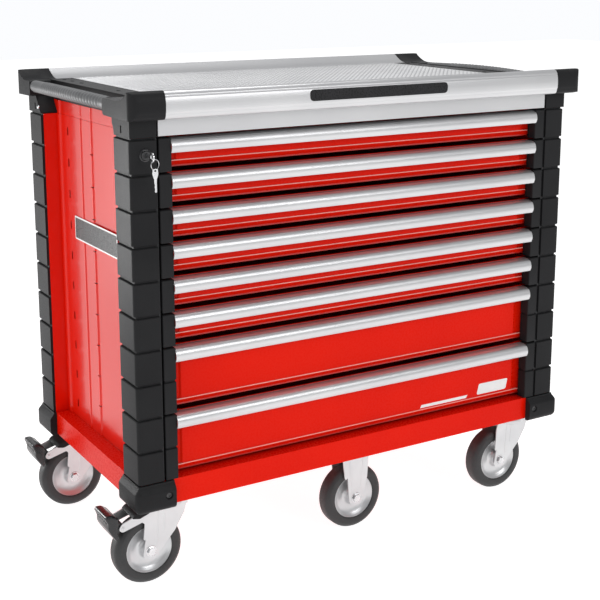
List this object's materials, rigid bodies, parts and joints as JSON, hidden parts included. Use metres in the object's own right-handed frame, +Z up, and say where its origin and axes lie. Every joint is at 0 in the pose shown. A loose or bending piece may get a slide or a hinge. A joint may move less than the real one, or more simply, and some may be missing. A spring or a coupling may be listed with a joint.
{
  "type": "rolling tool chest",
  "caption": "Rolling steel tool chest with full-extension drawers, aluminium-edged worktop, moulded ends with grip bars, corner posts and casters.",
  "frame": {"origin": "on the floor under the middle of the whole chest; the brake pedals stand out on the left, so the middle of the cabinet itself lies 17.8 mm to +X of the origin", "axes": "+X to the chest's right seen from the front, +Y to its back, +Z up; the drawers open towards -Y"},
  "size_m": [1.1785, 0.6568, 1.0302],
  "materials": {
    "red_paint": "glossy powder coat",
    "black_plastic": "fine-grained moulding",
    "grey_grip": "ribbed soft grip",
    "aluminium": "satin anodised",
    "zinc_steel": "bright zinc plate",
    "black_rubber": "matt rubber"
  },
  "bodies": {
    "root": {"carcass": "red_paint", "base": "red_paint", "post_front_left": "black_plastic", "post_front_right": "black_plastic", "post_rear_left": "black_plastic", "post_rear_right": "black_plastic", "front_profile": "aluminium", "rear_profile": "aluminium", "deck": "aluminium", "end_left": "black_plastic", "end_right": "black_plastic", "grip_left": "grey_grip", "grip_right": "grey_grip", "fork_front_middle": "zinc_steel", "fork_rear_middle": "zinc_steel"},
    "lock": {"lock": "black_plastic"},
    "drawer_1": {"drawer_1": "red_paint", "handle_1": "aluminium"},
    "slides_1": {"slide_left_1": "zinc_steel", "slide_right_1": "zinc_steel"},
    "drawer_2": {"drawer_2": "red_paint", "handle_2": "aluminium"},
    "slides_2": {"slide_left_2": "zinc_steel", "slide_right_2": "zinc_steel"},
    "drawer_3": {"drawer_3": "red_paint", "handle_3": "aluminium"},
    "slides_3": {"slide_left_3": "zinc_steel", "slide_right_3": "zinc_steel"},
    "drawer_4": {"drawer_4": "red_paint", "handle_4": "aluminium"},
    "slides_4": {"slide_left_4": "zinc_steel", "slide_right_4": "zinc_steel"},
    "drawer_5": {"drawer_5": "red_paint", "handle_5": "aluminium"},
    "slides_5": {"slide_left_5": "zinc_steel", "slide_right_5": "zinc_steel"},
    "drawer_6": {"drawer_6": "red_paint", "handle_6": "aluminium"},
    "slides_6": {"slide_left_6": "zinc_steel", "slide_right_6": "zinc_steel"},
    "drawer_7": {"drawer_7": "red_paint", "handle_7": "aluminium"},
    "slides_7": {"slide_left_7": "zinc_steel", "slide_right_7": "zinc_steel"},
    "drawer_8": {"drawer_8": "red_paint", "handle_8": "aluminium"},
    "slides_8": {"slide_left_8": "zinc_steel", "slide_right_8": "zinc_steel"},
    "caster_front_left": {"fork_front_left": "zinc_steel"},
    "wheel_front_left": {"wheel_front_left": "black_rubber"},
    "brake_front_left": {"brake_front_left": "black_plastic"},
    "caster_front_right": {"fork_front_right": "zinc_steel"},
    "wheel_front_right": {"wheel_front_right": "black_rubber"},
    "wheel_front_middle": {"wheel_front_middle": "black_rubber"},
    "caster_rear_left": {"fork_rear_left": "zinc_steel"},
    "wheel_rear_left": {"wheel_rear_left": "black_rubber"},
    "brake_rear_left": {"brake_rear_left": "black_plastic"},
    "caster_rear_right": {"fork_rear_right": "zinc_steel"},
    "wheel_rear_right": {"wheel_rear_right": "black_rubber"},
    "wheel_rear_middle": {"wheel_rear_middle": "black_rubber"}
  },
  "joints": [
    {"name": "lock_turn", "type": "hinge", "parent": "root", "child": "lock", "pos_m": [-0.49725, -0.2878, 0.906], "axis": [0, -1, 0], "range_deg": [0, 90]},
    {"name": "drawer_1_slide", "type": "slide", "parent": "root", "child": "drawer_1", "axis": [0, -1, 0], "range_m": [0, 0.42]},
    {"name": "slides_1_extend", "type": "slide", "parent": "root", "child": "slides_1", "axis": [0, -1, 0], "range_m": [0, 0.21]},
    {"name": "drawer_2_slide", "type": "slide", "parent": "root", "child": "drawer_2", "axis": [0, -1, 0], "range_m": [0, 0.42]},
    {"name": "slides_2_extend", "type": "slide", "parent": "root", "child": "slides_2", "axis": [0, -1, 0], "range_m": [0, 0.21]},
    {"name": "drawer_3_slide", "type": "slide", "parent": "root", "child": "drawer_3", "axis": [0, -1, 0], "range_m": [0, 0.42]},
    {"name": "slides_3_extend", "type": "slide", "parent": "root", "child": "slides_3", "axis": [0, -1, 0], "range_m": [0, 0.21]},
    {"name": "drawer_4_slide", "type": "slide", "parent": "root", "child": "drawer_4", "axis": [0, -1, 0], "range_m": [0, 0.42]},
    {"name": "slides_4_extend", "type": "slide", "parent": "root", "child": "slides_4", "axis": [0, -1, 0], "range_m": [0, 0.21]},
    {"name": "drawer_5_slide", "type": "slide", "parent": "root", "child": "drawer_5", "axis": [0, -1, 0], "range_m": [0, 0.42]},
    {"name": "slides_5_extend", "type": "slide", "parent": "root", "child": "slides_5", "axis": [0, -1, 0], "range_m": [0, 0.21]},
    {"name": "drawer_6_slide", "type": "slide", "parent": "root", "child": "drawer_6", "axis": [0, -1, 0], "range_m": [0, 0.42]},
    {"name": "slides_6_extend", "type": "slide", "parent": "root", "child": "slides_6", "axis": [0, -1, 0], "range_m": [0, 0.21]},
    {"name": "drawer_7_slide", "type": "slide", "parent": "root", "child": "drawer_7", "axis": [0, -1, 0], "range_m": [0, 0.42]},
    {"name": "slides_7_extend", "type": "slide", "parent": "root", "child": "slides_7", "axis": [0, -1, 0], "range_m": [0, 0.21]},
    {"name": "drawer_8_slide", "type": "slide", "parent": "root", "child": "drawer_8", "axis": [0, -1, 0], "range_m": [0, 0.42]},
    {"name": "slides_8_extend", "type": "slide", "parent": "root", "child": "slides_8", "axis": [0, -1, 0], "range_m": [0, 0.21]},
    {"name": "swivel_front_left", "type": "hinge", "parent": "root", "child": "caster_front_left", "pos_m": [-0.44725, -0.221, 0.1757], "axis": [0, 0, 1], "continuous": true},
    {"name": "roll_front_left", "type": "hinge", "parent": "caster_front_left", "child": "wheel_front_left", "pos_m": [-0.48925, -0.221, 0.075], "axis": [0, 1, 0], "continuous": true},
    {"name": "brake_front_left_press", "type": "hinge", "parent": "caster_front_left", "child": "brake_front_left", "pos_m": [-0.54925, -0.221, 0.14], "axis": [0, -1, 0], "range_deg": [0, 14]},
    {"name": "swivel_front_right", "type": "hinge", "parent": "root", "child": "caster_front_right", "pos_m": [0.48275, -0.221, 0.1757], "axis": [0, 0, 1], "continuous": true},
    {"name": "roll_front_right", "type": "hinge", "parent": "caster_front_right", "child": "wheel_front_right", "pos_m": [0.44075, -0.221, 0.075], "axis": [0, 1, 0], "continuous": true},
    {"name": "roll_front_middle", "type": "hinge", "parent": "root", "child": "wheel_front_middle", "pos_m": [0.01775, -0.221, 0.075], "axis": [0, 1, 0], "continuous": true},
    {"name": "swivel_rear_left", "type": "hinge", "parent": "root", "child": "caster_rear_left", "pos_m": [-0.44725, 0.221, 0.1757], "axis": [0, 0, 1], "continuous": true},
    {"name": "roll_rear_left", "type": "hinge", "parent": "caster_rear_left", "child": "wheel_rear_left", "pos_m": [-0.48925, 0.221, 0.075], "axis": [0, 1, 0], "continuous": true},
    {"name": "brake_rear_left_press", "type": "hinge", "parent": "caster_rear_left", "child": "brake_rear_left", "pos_m": [-0.54925, 0.221, 0.14], "axis": [0, -1, 0], "range_deg": [0, 14]},
    {"name": "swivel_rear_right", "type": "hinge", "parent": "root", "child": "caster_rear_right", "pos_m": [0.48275, 0.221, 0.1757], "axis": [0, 0, 1], "continuous": true},
    {"name": "roll_rear_right", "type": "hinge", "parent": "caster_rear_right", "child": "wheel_rear_right", "pos_m": [0.44075, 0.221, 0.075], "axis": [0, 1, 0], "continuous": true},
    {"name": "roll_rear_middle", "type": "hinge", "parent": "root", "child": "wheel_rear_middle", "pos_m": [0.01775, 0.221, 0.075], "axis": [0, 1, 0], "continuous": true}
  ],
  "couplings": [
    {"joint": "slides_1_extend", "follows": "drawer_1_slide", "ratio": 0.5},
    {"joint": "slides_2_extend", "follows": "drawer_2_slide", "ratio": 0.5},
    {"joint": "slides_3_extend", "follows": "drawer_3_slide", "ratio": 0.5},
    {"joint": "slides_4_extend", "follows": "drawer_4_slide", "ratio": 0.5},
    {"joint": "slides_5_extend", "follows": "drawer_5_slide", "ratio": 0.5},
    {"joint": "slides_6_extend", "follows": "drawer_6_slide", "ratio": 0.5},
    {"joint": "slides_7_extend", "follows": "drawer_7_slide", "ratio": 0.5},
    {"joint": "slides_8_extend", "follows": "drawer_8_slide", "ratio": 0.5}
  ]
}
